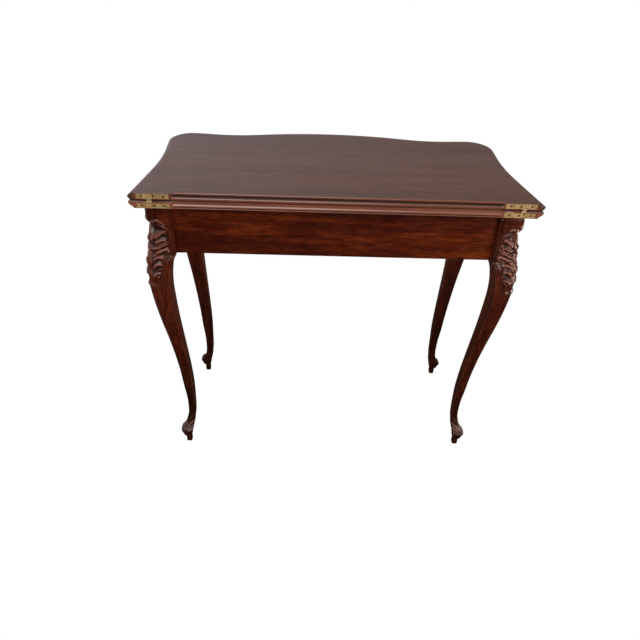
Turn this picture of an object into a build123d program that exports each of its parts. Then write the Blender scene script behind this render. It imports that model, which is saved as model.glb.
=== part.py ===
from build123d import *
import os

# A serpentine flip-top games table on four cabriole legs, in millimetres.
# The hinged edge of the top faces -Y, +X is to the right of someone who looks at that edge,
# +Z is up, and the origin is on the floor under the middle of the closed top.
# The folded top turns a quarter turn on an off-centre pivot, and then its upper leaf
# opens on two edge hinges, so that both leaves rest on the frame.

# Overall sizes
table_height = 745.0
top_width = 850.0
top_depth = 425.0

# Leaves of the top
leaf_thickness = 16.0
leaf_gap = 0.3
seat_gap = 0.3
upper_moulding_width = 11.0
upper_moulding_drop = 7.0
lower_moulding_width = 16.0
lower_moulding_drop = 12.0
# Half of the top's outline, from the middle of the front to the hinged corner, as shares of
# the half width and of the depth
outline_shares = (
    (0.000, 0.500), (0.440, 0.4485), (0.718, 0.4362), (0.818, 0.4445),
    (0.952, 0.3095), (0.946, 0.1975), (0.954, -0.152), (1.000, -0.500),
)

# Baize linings, let into the inner faces of the leaves
baize_thickness = 1.2
baize_sink = 0.3
baize_border = 34.0
baize_hinge_border = 14.0

# Posts, the square heads of the legs
post_size = 60.0
post_outset = 34.0
back_overhang = 18.5
side_overhang = 21.0
front_overhang = 7.0
front_side_overhang = 12.0
knee_overhang = 1.0
post_rounding = 40.0
tablet_height = 28.0
tablet_rounding = 22.0
knee_swell = 3.0
knee_swell_height = 40.0
knee_flare = 60.0

# Leg below the post, measured from the middle of the foot: the height as a share of the way
# up to the apron, then the inner face, the outer face and the rounding of the outer corner as
# shares of the post's size
leg_shares = (
    (0.040, -0.150, 0.190, 0.083), (0.060, -0.183, 0.252, 0.133), (0.077, -0.217, 0.304, 0.183),
    (0.090, -0.254, 0.180, 0.217), (0.107, -0.296, 0.070, 0.217), (0.130, -0.330, 0.005, 0.200),
    (0.160, -0.373, -0.045, 0.167), (0.200, -0.395, -0.058, 0.167), (0.250, -0.405, -0.040, 0.183),
    (0.300, -0.410, 0.012, 0.217), (0.400, -0.373, 0.095, 0.250), (0.500, -0.304, 0.216, 0.300),
    (0.600, -0.223, 0.365, 0.333), (0.700, -0.150, 0.540, 0.400), (0.783, -0.105, 0.665, 0.467),
    (0.850, -0.085, 0.740, 0.533), (0.908, -0.120, 0.765, 0.600), (0.950, -0.200, 0.743, 0.633),
    (0.983, -0.340, 0.700, 0.667),
)
stub_size = 14.0

# Aprons, the rails between the posts
apron_height = 114.0
apron_thickness = 20.0
apron_recess = 8.0
side_bow = 14.0
tenon_length = 18.0
tenon_thickness = 8.0
tenon_shoulder = 10.0

# Card well inside the frame
floor_thickness = 6.0
floor_rise = 8.0
groove_depth = 5.0
divider_thickness = 12.0

# Pivot of the top
pivot_board_thickness = 22.0
pivot_plate_size = 64.0
pivot_plate_thickness = 3.0
pivot_radius = 6.0
pivot_clearance = 0.05
pivot_end = 4.0
washer_radius = 14.0
washer_thickness = 2.0
nut_thickness = 8.0
nut_across_corners = 22.0
nut_sides = 6

# Stop peg under the lower leaf, and the two blocks that it meets
peg_radius = 5.0
peg_length = 20.0
peg_sink = 8.0
peg_clearance = 1.0
stop_clearance = 0.3
stop_block_depth = 7.0
stop_block_width = 16.0
stop_block_height = 20.0
stop_block_aside = 17.05

# Edge hinges of brass
hinge_radius = 4.0
hinge_length = 65.0
hinge_height = 10.4
hinge_thickness = 2.0
hinge_inset = 17.0
hinge_rise = 0.8
link_share = 0.38
link_width = 5.0
link_eye_radius = 3.0
link_side_clearance = 0.15
link_end_clearance = 0.3
lug_thickness = 2.2
hinge_pin_radius = 1.1
hinge_pin_clearance = 0.05

# Screws: heads sunk flush, with the shank straight behind
hinge_screw_shares = (0.16, 0.52, 0.84)
hinge_screw_head_radius = 2.3
hinge_screw_radius = 1.2
hinge_screw_length = 14.0
plate_screw_head_radius = 4.2
plate_screw_radius = 2.2
plate_screw_length = 12.0
plate_screw_share = 0.34
screw_slot_width = 0.7
screw_slot_depth = 0.4

# Stopped rebates along the hinged edge, between the hinges: over the upper leaf's moulding and
# over the lower leaf's bead
upper_rebate_height = 7.6
upper_rebate_depth = 6.5
lower_rebate_height = 6.8
lower_rebate_depth = 2.0
rebate_start = 92.0

overrun = 5.0

half_width = top_width / 2
half_depth = top_depth / 2
upper_base = table_height - leaf_thickness
lower_top_z = upper_base - leaf_gap
lower_base = lower_top_z - leaf_thickness
frame_top = lower_base - seat_gap
apron_base = frame_top - apron_height
back_post_face = half_depth - back_overhang
side_post_face = half_width - side_overhang
front_ear_x = outline_shares[4][0] * half_width
front_ear_y = outline_shares[3][1] * top_depth
back_foot = (side_post_face - post_outset, -back_post_face + post_outset)
front_foot = (front_ear_x - front_side_overhang - post_outset, front_ear_y - front_overhang - post_outset)
pivot_x = -top_depth / 4
pivot_y = -top_depth / 4
post_inset = post_size - post_outset
rail_set = apron_recess + apron_thickness
peg_reach = half_depth - back_overhang - rail_set + pivot_y
peg_reach -= stop_block_depth + stop_clearance + peg_radius
pivot_board_width = 2 * (peg_reach - peg_radius - peg_clearance)
peg_side = pivot_board_width / 2 + stop_block_aside + stop_block_width / 2
link_x = -half_width + hinge_inset + link_share * hinge_length
sides = (("left", 1), ("right", -1))


def block(x_span, y_span, z_span):
    """A box between three pairs of limits."""
    spans = (x_span, y_span, z_span)
    lows = [min(span) for span in spans]
    sizes = [max(span) - min(span) for span in spans]
    return Pos(*lows) * Box(*sizes, align=(Align.MIN, Align.MIN, Align.MIN))


def rod(radius, start, end, axis):
    """A round bar between two points along one axis."""
    plane = Plane(origin=start, z_dir=axis)
    return extrude(plane * Circle(radius), (Vector(*end) - Vector(*start)).length)


def top_face(inset=0.0):
    """The plan of the top, or the same plan drawn in by an inset."""
    places = [(x * half_width, y * top_depth) for x, y in outline_shares]
    heading = (1, 0)
    right = []
    for start, end in zip(places, places[1:]):
        arc = TangentArc(start, end, tangent=heading)
        heading = arc % 1
        right.append(arc)
    left = [mirror(arc, about=Plane.YZ) for arc in right]
    back = Line((-half_width, -half_depth), (half_width, -half_depth))
    face = make_face(Curve() + right + left + back)
    if inset > 0:
        face = offset(face, amount=-inset)
    return face


def slab(face, low, high):
    """A plan face raised between two heights."""
    return extrude(Pos(0, 0, low) * face, high - low)


def leaf(low, outer_is_top):
    """One leaf, with moulded edges outside and a rounded arris at the hinge side inside."""
    high = low + leaf_thickness
    inner = low if outer_is_top else high
    width = upper_moulding_width if outer_is_top else lower_moulding_width
    drop = upper_moulding_drop if outer_is_top else lower_moulding_drop
    body = slab(top_face(), low, high)
    face = body.faces().sort_by(Axis.Z)[-1 if outer_is_top else 0]
    moulded = [edge for edge in face.edges() if edge.geom_type != GeomType.LINE]
    body = chamfer(moulded, length=width, length2=drop, reference=face)
    arris = [
        edge for edge in body.edges().filter_by(Axis.X)
        if abs(edge.center().Z - inner) < leaf_gap and edge.center().Y < -half_depth + leaf_gap
    ]
    body = fillet(arris, hinge_radius)
    rebate_end = half_width - rebate_start
    rebate_height = upper_rebate_height if outer_is_top else lower_rebate_height
    rebate_depth = upper_rebate_depth if outer_is_top else lower_rebate_depth
    rebate = block(
        (-rebate_end, rebate_end), (-half_depth - overrun, -half_depth + rebate_depth),
        (high - rebate_height, high),
    )
    return body - rebate


def baize_plan():
    """The plan of a lining: the top's plan drawn in, and cut straight beside the hinges."""
    drawn_in = top_face(baize_border)
    strip_low = -half_depth + baize_hinge_border
    strip_high = -half_depth + baize_border
    side_x = max(vertex.X for vertex in drawn_in.vertices() if vertex.Y < 0)
    strip = Pos(0, (strip_low + strip_high) / 2) * Rectangle(2 * side_x, strip_high - strip_low)
    return drawn_in + strip


def baize(leaf_inner, down):
    """A lining whose face lies just under the inner face of its leaf."""
    sign = -1 if down else 1
    face_z = leaf_inner + sign * baize_sink
    back_z = face_z + sign * baize_thickness
    return slab(baize_plan(), min(face_z, back_z), max(face_z, back_z))


def countersunk_screw(head_radius, radius, length):
    """A screw along -Z with the flat of its head at the origin and a slot across it."""
    taper = head_radius - radius
    head = Pos(0, 0, -taper / 2) * Cone(radius, head_radius, taper)
    shank = Pos(0, 0, -length / 2) * Cylinder(radius, length)
    slot = Pos(0, 0, -screw_slot_depth / 2) * Box(2 * head_radius, screw_slot_width, screw_slot_depth)
    return head + shank, slot


def fasten(places, screw_sizes, plane_of, solids):
    """Drive screws at the given places through the solids that they hold."""
    screws = []
    for place in places:
        body, slot = countersunk_screw(*screw_sizes)
        put = plane_of(place)
        solids = [solid - put * body for solid in solids]
        screws.append(put * (body - slot))
    return screws, solids


def hinge_shapes(pin_z, sign):
    """Room in a leaf for one left hinge plate, and what is cut from the plate for its link."""
    left = -half_width + hinge_inset
    strip = block(
        (left, left + hinge_length),
        (-half_depth, -half_depth + hinge_thickness),
        (pin_z + sign * hinge_rise, pin_z + sign * (hinge_rise + hinge_height)),
    )
    pin_y = -half_depth + hinge_radius
    reach = link_eye_radius + link_end_clearance
    knuckle_half = link_width / 2 + link_side_clearance + lug_thickness
    knuckle = block(
        (link_x - knuckle_half, link_x + knuckle_half),
        (-half_depth, pin_y + reach),
        (pin_z - sign * hinge_radius, pin_z + sign * reach),
    )
    slot_half = link_width / 2 + link_side_clearance
    slot = block(
        (link_x - slot_half, link_x + slot_half),
        (-half_depth - overrun, pin_y + reach),
        (pin_z - sign * (hinge_radius + overrun), pin_z + sign * reach),
    )
    pin = rod(
        hinge_pin_radius, (link_x - knuckle_half, pin_y, pin_z),
        (link_x + knuckle_half, pin_y, pin_z), (1, 0, 0),
    )
    return strip + knuckle, slot, pin


def fit_hinges(body, pin_z, sign):
    """Let both plates of one leaf into its edge, and return them with their pins and screws."""
    plates, pins, screws = [], [], []
    left = -half_width + hinge_inset
    screw_z = pin_z + sign * (hinge_rise + hinge_height / 2)
    sizes = (hinge_screw_head_radius, hinge_screw_radius, hinge_screw_length)
    for _, side in sides:
        room, slot, pin = hinge_shapes(pin_z, sign)
        if side < 0:
            room, slot, pin = (mirror(shape, about=Plane.YZ) for shape in (room, slot, pin))
        plate = (body & room) - slot - pin
        body = body - room
        places = [side * (left + share * hinge_length) for share in hinge_screw_shares]
        driven, (plate, body) = fasten(
            places, sizes,
            lambda x: Plane(origin=(x, -half_depth, screw_z), x_dir=(1, 0, 0), z_dir=(0, -1, 0)),
            (plate, body),
        )
        plates.append(plate)
        pins.append(pin)
        screws += driven
    return body, plates, pins, screws


def hinge_link(side):
    """The figure-of-eight link between the two pins of one hinge."""
    pin_y = -half_depth + hinge_radius
    low_z = lower_top_z - hinge_radius
    high_z = upper_base + hinge_radius
    start_x = link_x - link_width / 2
    shape = block(
        (start_x, start_x + link_width),
        (pin_y - link_eye_radius, pin_y + link_eye_radius), (low_z, high_z),
    )
    for z in (low_z, high_z):
        shape += rod(link_eye_radius, (start_x, pin_y, z), (start_x + link_width, pin_y, z), (1, 0, 0))
    bore = hinge_pin_radius + hinge_pin_clearance
    for z in (low_z, high_z):
        shape -= rod(bore, (start_x, pin_y, z), (start_x + link_width, pin_y, z), (1, 0, 0))
    return shape if side > 0 else mirror(shape, about=Plane.YZ)


def leg_section(inner, outer, rounding, z):
    """A square section of a leg with its outer corner rounded, at a height."""
    edges = [
        Line((inner, inner), (outer, inner)),
        Line((outer, inner), (outer, outer - rounding)),
        RadiusArc((outer, outer - rounding), (outer - rounding, outer), -rounding),
        Line((outer - rounding, outer), (inner, outer)),
        Line((inner, outer), (inner, inner)),
    ]
    return Pos(0, 0, z) * make_face(Curve() + edges)


def corner_room():
    """Where a front leg may be: its head follows the rounded corner, and its knee swells."""
    seam = apron_base - knee_flare
    narrow = Pos(0, 0, apron_base) * top_face(front_overhang)
    wide = Pos(0, 0, seam) * top_face(knee_overhang)
    head = slab(top_face(front_overhang), apron_base, frame_top)
    return head + loft([narrow, wide], ruled=True) + slab(top_face(knee_overhang), 0, seam)


def leg(foot, x_sign, y_sign):
    """A cabriole leg: stub, toe, shank, knee, rounded post and squarer tablet, its foot at a place."""
    sections = []
    for height, inner, outer, rounding in leg_shares:
        sizes = (inner * post_size, outer * post_size, rounding * post_size)
        sections.append(leg_section(*sizes, height * apron_base))
    knee_out = post_outset + knee_swell
    knee_top = apron_base + knee_swell_height
    top_section = leg_section(-post_inset, knee_out, post_rounding, apron_base)
    post_section = leg_section(-post_inset, post_outset, post_rounding, knee_top)
    tablet_base = frame_top - tablet_height
    tablet_section = leg_section(-post_inset, post_outset, tablet_rounding, tablet_base)
    stub_top = leg_shares[0][0] * apron_base
    shape = loft(sections + [top_section])
    shape += loft([top_section, post_section], ruled=True)
    shape += extrude(post_section, tablet_base - knee_top)
    shape += extrude(tablet_section, tablet_height)
    half_stub = stub_size / 2
    shape += block((-half_stub, half_stub), (-half_stub, half_stub), (0, stub_top))
    if x_sign < 0:
        shape = mirror(shape, about=Plane.YZ)
    if y_sign < 0:
        shape = mirror(shape, about=Plane.XZ)
    return Pos(x_sign * foot[0], foot[1]) * shape


def apron_z():
    return (apron_base, frame_top)


def tenon_z():
    return (apron_base + tenon_shoulder, frame_top - tenon_shoulder)


def back_apron():
    """The straight rail under the hinged edge, with its two tenons."""
    face_y = -back_post_face + apron_recess
    end = back_foot[0] - post_inset
    middle = face_y + apron_thickness / 2
    board = block((-end, end), (face_y, face_y + apron_thickness), apron_z())
    reach = end + tenon_length
    tenon = block(
        (-reach, reach), (middle - tenon_thickness / 2, middle + tenon_thickness / 2), tenon_z()
    )
    return board + tenon


def front_apron():
    """The serpentine rail under the front edge, with its two tenons."""
    inset = front_overhang + apron_recess
    end = front_foot[0] - post_inset
    ring = top_face(inset) - top_face(inset + apron_thickness)
    window = Pos(0, half_depth) * Rectangle(2 * end, top_depth - apron_thickness)
    board = slab(ring & window, *apron_z())
    middle = front_ear_y - inset - apron_thickness / 2
    for side in (1, -1):
        board += block(
            (side * (end - tenon_length), side * (end + tenon_length)),
            (middle - tenon_thickness / 2, middle + tenon_thickness / 2), tenon_z(),
        )
    return board


def side_arc(inset):
    """The bowed outer line of a side apron, or a line parallel to it further in."""
    back = (side_post_face - apron_recess - inset, back_foot[1] + post_inset)
    front = (front_foot[0] + post_outset - apron_recess - inset, front_foot[1] - post_inset)
    middle = ((back[0] + front[0]) / 2 - side_bow, (back[1] + front[1]) / 2)
    return ThreePointArc(back, middle, front), back, front


def side_apron():
    """The right rail, bowed a little inwards, with its two tenons."""
    outer, outer_back, outer_front = side_arc(0)
    inner, inner_back, inner_front = side_arc(apron_thickness)
    face = make_face(
        Curve() + [outer, inner, Line(outer_back, inner_back), Line(outer_front, inner_front)]
    )
    board = slab(face, *apron_z())
    for end_x, end_y, side in (outer_back + (-1,), outer_front + (1,)):
        middle = end_x - apron_thickness / 2
        board += block(
            (middle - tenon_thickness / 2, middle + tenon_thickness / 2),
            (end_y - side * tenon_length, end_y + side * tenon_length), tenon_z(),
        )
    return board


def inside_plan(inset, left):
    """The plan between the aprons, right of a given line, reaching a little into them."""
    arc, back, front = side_arc(inset)
    far = front_ear_y + top_depth
    low = -back_post_face + apron_recess + inset
    corners = [back, (back[0], low), (left, low), (left, far), (front[0], far), front]
    lines = [Line(a, b) for a, b in zip(corners, corners[1:])]
    return make_face(Curve() + [arc] + lines) & top_face(front_overhang + apron_recess + inset)


def between_rails(x_span, z_span, depth):
    """A board from the back apron to the front one, let into both."""
    inset = apron_thickness - depth
    span = Pos(sum(x_span) / 2, 0) * Rectangle(max(x_span) - min(x_span), 2 * top_depth)
    low = -back_post_face + apron_recess + inset
    window = Pos(0, low + top_depth) * Rectangle(2 * top_width, 2 * top_depth)
    plan = top_face(front_overhang + apron_recess + inset) & span & window
    return slab(plan, *z_span)


def main():
    nodes = {}

    # The leaves, with their linings and hinges
    upper = leaf(upper_base, True)
    lower = leaf(lower_base, False)
    upper, upper_plates, upper_pins, upper_screws = fit_hinges(upper, upper_base + hinge_radius, 1)
    lower, lower_plates, lower_pins, lower_screws = fit_hinges(lower, lower_top_z - hinge_radius, -1)
    recess_depth = baize_sink + baize_thickness
    upper -= slab(baize_plan(), upper_base, upper_base + recess_depth)
    lower -= slab(baize_plan(), lower_top_z - recess_depth, lower_top_z)
    nodes["baize_upper"] = baize(upper_base, False)
    nodes["baize_lower"] = baize(lower_top_z, True)
    for index, (name, side) in enumerate(sides):
        nodes["hinge_plate_upper_" + name] = upper_plates[index]
        nodes["hinge_plate_lower_" + name] = lower_plates[index]
        nodes["hinge_pin_upper_" + name] = upper_pins[index]
        nodes["hinge_pin_lower_" + name] = lower_pins[index]
        nodes["hinge_link_" + name] = hinge_link(side)
    nodes["hinge_screws_upper"] = Compound(children=upper_screws)
    nodes["hinge_screws_lower"] = Compound(children=lower_screws)

    # The pivot, its plate let into the lower leaf, and the stop peg
    half_plate = pivot_plate_size / 2
    plate_top = lower_base + pivot_plate_thickness
    plate = block(
        (pivot_x - half_plate, pivot_x + half_plate),
        (pivot_y - half_plate, pivot_y + half_plate), (lower_base, plate_top),
    )
    lower -= plate
    board_base = frame_top - pivot_board_thickness
    washer_top = board_base - seat_gap
    nut_top = washer_top - washer_thickness
    pin_end = nut_top - nut_thickness - pivot_end
    pin = rod(pivot_radius, (pivot_x, pivot_y, pin_end), (pivot_x, pivot_y, plate_top), (0, 0, 1))
    plate -= pin
    reach = plate_screw_share * pivot_plate_size
    spots = [(pivot_x + a * reach, pivot_y + b * reach) for a in (1, -1) for b in (1, -1)]
    sizes = (plate_screw_head_radius, plate_screw_radius, plate_screw_length)
    plate_screws, (plate, lower) = fasten(
        spots, sizes,
        lambda spot: Plane(origin=(*spot, lower_base), x_dir=(1, 0, 0), z_dir=(0, 0, -1)),
        (plate, lower),
    )
    nodes["pivot_plate"] = plate
    nodes["pivot_pin"] = pin
    nodes["pivot_plate_screws"] = Compound(children=plate_screws)
    washer = rod(washer_radius, (pivot_x, pivot_y, nut_top), (pivot_x, pivot_y, washer_top), (0, 0, 1))
    nodes["pivot_washer"] = washer - pin
    nut_plan = Pos(pivot_x, pivot_y) * RegularPolygon(nut_across_corners / 2, nut_sides)
    nodes["pivot_nut"] = slab(nut_plan, nut_top - nut_thickness, nut_top) - pin
    peg_x = pivot_x - peg_reach
    peg_y = pivot_y + peg_side
    peg_top = lower_base + peg_sink
    peg = rod(peg_radius, (peg_x, peg_y, peg_top - peg_length), (peg_x, peg_y, peg_top), (0, 0, 1))
    nodes["stop_peg"] = peg
    nodes["upper_leaf"] = upper
    nodes["lower_leaf"] = lower - peg

    # The frame: aprons, then boards between them, then the legs cut for the tenons
    aprons = {
        "apron_back": back_apron(),
        "apron_front": front_apron(),
        "apron_right": side_apron(),
        "apron_left": mirror(side_apron(), about=Plane.YZ),
    }
    legs = {
        "leg_back_left": leg(back_foot, -1, -1),
        "leg_back_right": leg(back_foot, 1, -1),
        "leg_front_left": leg(front_foot, -1, 1) & corner_room(),
        "leg_front_right": leg(front_foot, 1, 1) & corner_room(),
    }
    board_left = pivot_x - pivot_board_width / 2
    board_right = pivot_x + pivot_board_width / 2
    divider_right = board_right + divider_thickness
    floor_base = apron_base + floor_rise
    board = between_rails((board_left, board_right), (board_base, frame_top), groove_depth)
    board -= rod(
        pivot_radius + pivot_clearance, (pivot_x, pivot_y, board_base - overrun),
        (pivot_x, pivot_y, frame_top + overrun), (0, 0, 1),
    )
    divider = between_rails((board_right, divider_right), (floor_base, frame_top), groove_depth)
    floor_plan = inside_plan(apron_thickness - groove_depth, divider_right - groove_depth)
    floor = slab(floor_plan, floor_base, floor_base + floor_thickness)
    for name in aprons:
        aprons[name] = aprons[name] - board - divider - floor
    divider -= block(
        (divider_right - groove_depth, divider_right), (-half_depth, half_depth),
        (floor_base, floor_base + floor_thickness),
    )
    for name in legs:
        for apron in aprons.values():
            legs[name] = legs[name] - apron
        floor -= legs[name]
    nodes.update(aprons)
    nodes.update(legs)
    nodes["pivot_board"] = board
    nodes["well_divider"] = divider
    nodes["well_floor"] = floor

    # The blocks that the peg meets when the top is closed and when it is turned
    block_z = (frame_top - stop_block_height, frame_top)
    closed_y = peg_y + peg_radius + stop_clearance
    nodes["stop_block_closed"] = block(
        (board_left - stop_block_width, board_left), (closed_y, closed_y + stop_block_width), block_z
    )
    turned_x = pivot_x - peg_side
    rail_y = -back_post_face + rail_set
    nodes["stop_block_turned"] = block(
        (turned_x - stop_block_width / 2, turned_x + stop_block_width / 2),
        (rail_y, rail_y + stop_block_depth), block_z,
    )

    os.makedirs("parts", exist_ok=True)
    for name, shape in nodes.items():
        export_step(shape, "parts/" + name + ".step")
    print(len(nodes), "nodes")


main()
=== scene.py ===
import math

import bmesh
import bpy
import numpy as np
from mathutils import Matrix
from mathutils.geometry import tessellate_polygon


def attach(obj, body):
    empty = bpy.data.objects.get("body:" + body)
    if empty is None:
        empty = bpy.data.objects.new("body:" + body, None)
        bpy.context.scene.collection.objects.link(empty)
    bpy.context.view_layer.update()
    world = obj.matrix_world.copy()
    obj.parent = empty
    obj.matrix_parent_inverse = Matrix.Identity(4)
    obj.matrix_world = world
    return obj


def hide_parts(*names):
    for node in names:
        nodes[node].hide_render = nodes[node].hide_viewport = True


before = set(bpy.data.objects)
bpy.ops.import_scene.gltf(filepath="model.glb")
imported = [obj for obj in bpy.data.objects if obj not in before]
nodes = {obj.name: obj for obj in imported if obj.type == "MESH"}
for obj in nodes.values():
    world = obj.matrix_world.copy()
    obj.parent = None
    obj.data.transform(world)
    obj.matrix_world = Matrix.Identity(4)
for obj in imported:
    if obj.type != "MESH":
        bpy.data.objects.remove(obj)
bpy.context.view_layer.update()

# Sizes in millimetres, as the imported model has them
MM = 0.001
HEIGHT, WIDTH, DEPTH = 745, 850, 425
LEAF, LEAF_GAP, SEAT_GAP = 16, 0.3, 0.3
APRON_HEIGHT = 114
UPPER_INNER = HEIGHT - LEAF
LOWER_INNER = UPPER_INNER - LEAF_GAP
FRAME_TOP = LOWER_INNER - LEAF - SEAT_GAP
APRON_BASE = FRAME_TOP - APRON_HEIGHT
EDGE_Y = -DEPTH / 2
MIRROR = np.array((-1, 1))
CORNERS = ((-1, -1), (1, -1), (1, 1), (-1, 1))
# Half of the top's outline, from the middle of the front to the hinged corner
OUTLINE = (
    (0, 0.5), (0.44, 0.4485), (0.718, 0.4362), (0.818, 0.4445), (0.952, 0.3095),
    (0.946, 0.1975), (0.954, -0.152), (1, -0.5),
)
# Moulded edges: how far in from the outline, and how far from the leaf's inner face
UPPER_EDGE = (
    (6.6, 0), (5.6, 0.1), (4.8, 0.6), (4, 1.8), (2.6, 4), (1.2, 6.2), (0.3, 8.2), (0, 9.5),
    (0.3, 10.7), (1.2, 12), (2.8, 13.1), (5, 13.9), (7.6, 14.3), (8.8, 14.4), (9.1, 14.7),
    (9.3, 15.7), (9.9, 16),
)
LOWER_EDGE = (
    (3, 0), (2.2, 0.1), (1.2, 0.5), (0.4, 1.4), (0, 2.9), (0.3, 4.6), (1.2, 6.4), (2.9, 8.5),
    (5.4, 10.6), (8.6, 12.6), (12.2, 14.3), (15, 15.4), (16, 15.8), (16.8, 16),
)
# The hinged edge between the hinges: heights from the inner face and depths behind the face
UPPER_HINGED = (
    (0, 1.2), (0.6, 0.4), (2, 0), (3.8, 0.1), (5.7, 0.5), (7.3, 1.5), (8.3, 3.4), (8.7, 6),
    (8.9, 9.4), (10, 9.8), (10.4, 7.3), (12, 6.6), (13.6, 6.6), (14.9, 7.2), (15.7, 8.2),
    (16, 9.5),
)
LOWER_HINGED = (
    (0, 3.2), (0.5, 2.7), (2, 2.5), (4.8, 2.5), (6.1, 2.7), (6.6, 2.5), (7.2, 1.8), (7.9, 1.1),
    (8.7, 0.5), (9.6, 0.15), (10.5, 0), (11.2, 0.2), (11.8, 0.9), (12.2, 2.2), (12.7, 3.3),
    (13.3, 3.3), (13.8, 2.4), (14.4, 1.6), (15.2, 1.5), (16, 1.7),
)
# Rounding of the inner arris, and how far behind the edge the inner and outer faces end
ARRIS = 4
INNER_BACK, OUTER_BACK = 8, 1
# Points lie this near to a cut on both sides, and at these other places along the edge
CUT_STEP = 0.04
PLAIN_PLACES = (415, 300, 200, 100)
# Points this near are joined, in metres
JOIN = 0.00002

# Painted shade darkens the hinged edge's sunk lines: heights from the inner face, and how much
UPPER_PAINTED_SHADE = (
    (0, 0.4), (1.5, 0.1), (8, 0), (8.6, 0.8), (10.2, 1), (10.9, 0.5), (12.2, 0.2),
    (13.6, 0), (16, 0),
)
LOWER_PAINTED_SHADE = (
    (0, 0.6), (1.2, 0.1), (5.3, 0), (6.2, 0.4), (6.9, 0), (11.7, 0.1), (12.2, 0.8),
    (13.3, 1), (14, 0.2), (16, 0),
)
# Painted shade in the seam beside the hinges: heights from the inner face, and how much
SEAM_PAINTED_SHADE = ((0, 1), (1, 0.9), (2, 0.4), (3.4, 0.05), (16, 0))
# The upper leaf's tips are also darkened, over these places along and behind the edge
TIP_DARKENING = 0.8
TIP_SPAN = (409, 419)
TIP_NEAR, TIP_FAR = 2, 26

# Hinges in the edge: plates, and the rooms for the knuckles
PLATE_OUT, PLATE_IN = 408, 343
PLATE_NEAR, PLATE_FAR, PLATE_DEEP = 4.8, 15.2, 2.1
LINK_X = 383.3
KNUCKLE_HALF, KNUCKLE_NEAR, KNUCKLE_DEEP = 5, 7.4, 7.45
STOP_X, RUN_OUT = 333, 8

# Linings: how far in from the outline and the hinged edge, and how deep recess and cloth lie
LINING_INSET, LINING_HINGE_INSET = 34, 14
RECESS, LINING_SUNK = 1.5, 0.3
# Section of the cloth's edge: the gap round it, and how far from the face
LINING_GAP = 0.15
LINING_SECTION = ((0.75, 0), (0.3, 0.15), (LINING_GAP, 0.5), (LINING_GAP, 1.15))

# The pivot's place across and along, and the pocket for its plate
PIVOT = -DEPTH / 4
PIVOT_PLATE_HALF, PIVOT_PLATE_DEEP = 32, 3.1

# Legs
POST_OUTSET, POST_INSET, POST_ROUND = 34, 26, 40
TABLET_BASE, TABLET_ROUND = FRAME_TOP - 28, 22
NECK_Z = FRAME_TOP - 45
NECK_SHARE, TABLET_SHARE = 0.6, 0.4
KNEE_SWELL, KNEE_HEIGHT = 3, 40
POST = POST_OUTSET + POST_INSET
BACK_FOOT = (370, -160)
FRONT_FOOT = (0.952 * WIDTH / 2 - 46, 0.4445 * DEPTH - 41)
# Heights as shares of the apron's base, then inner face, outer face and rounding as shares of the post
LEG_SHARES = (
    (0.04, -0.15, 0.19, 0.083), (0.06, -0.183, 0.252, 0.133), (0.077, -0.217, 0.304, 0.183),
    (0.09, -0.254, 0.18, 0.217), (0.107, -0.296, 0.07, 0.217), (0.13, -0.33, 0.005, 0.2),
    (0.16, -0.373, -0.045, 0.167), (0.2, -0.395, -0.058, 0.167), (0.25, -0.405, -0.04, 0.183),
    (0.3, -0.41, 0.012, 0.217), (0.4, -0.373, 0.095, 0.25), (0.5, -0.304, 0.216, 0.3),
    (0.6, -0.223, 0.365, 0.333), (0.7, -0.15, 0.54, 0.4), (0.783, -0.105, 0.665, 0.467),
    (0.85, -0.085, 0.74, 0.533), (0.908, -0.12, 0.765, 0.6), (0.95, -0.2, 0.743, 0.633),
    (0.983, -0.34, 0.7, 0.667),
)
# Heights at which a leg is drawn, closest where it is carved
LEG_LEVELS = np.concatenate((
    (0, 0.7, 2, 8, 16, 22.5, 23.7), np.arange(24.2, 100, 1.2), np.arange(100, 145, 3),
    np.arange(145, 495, 6), np.arange(495, 690, 1.2), np.arange(690, FRAME_TOP - 0.6, 0.6),
    (FRAME_TOP,),
))
LEG_POINTS = 101
# The stub under a foot, and the softened corners of the stub and of the leg
STUB_HALF, STUB_TAPER, STUB_ROUND, STUB_TOP = 7, 0.8, 1.5, 24
STUB_SOFT, LEG_SOFT = 1, 2
# The front legs stay this far inside the top's outline, at the post and lower down
POST_MARGIN, LEG_MARGIN, KNEE_FADE = 7, 1, 60
BATCH = 4000
# Rubbed corners: heights, and which columns after the carved faces they are
BARE_FOOT, BARE_HEAD = (60, 150), 20
SIDE_CORNERS = (0, 1, 2, 3, 22, 23, 24, 25)
INNER_CORNER = (11, 12, 13, 14)
# A fine ledge runs round the tablets and the aprons
LEDGE_Z = FRAME_TOP - 12.5
LEDGE_RISE = 0.8

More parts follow.
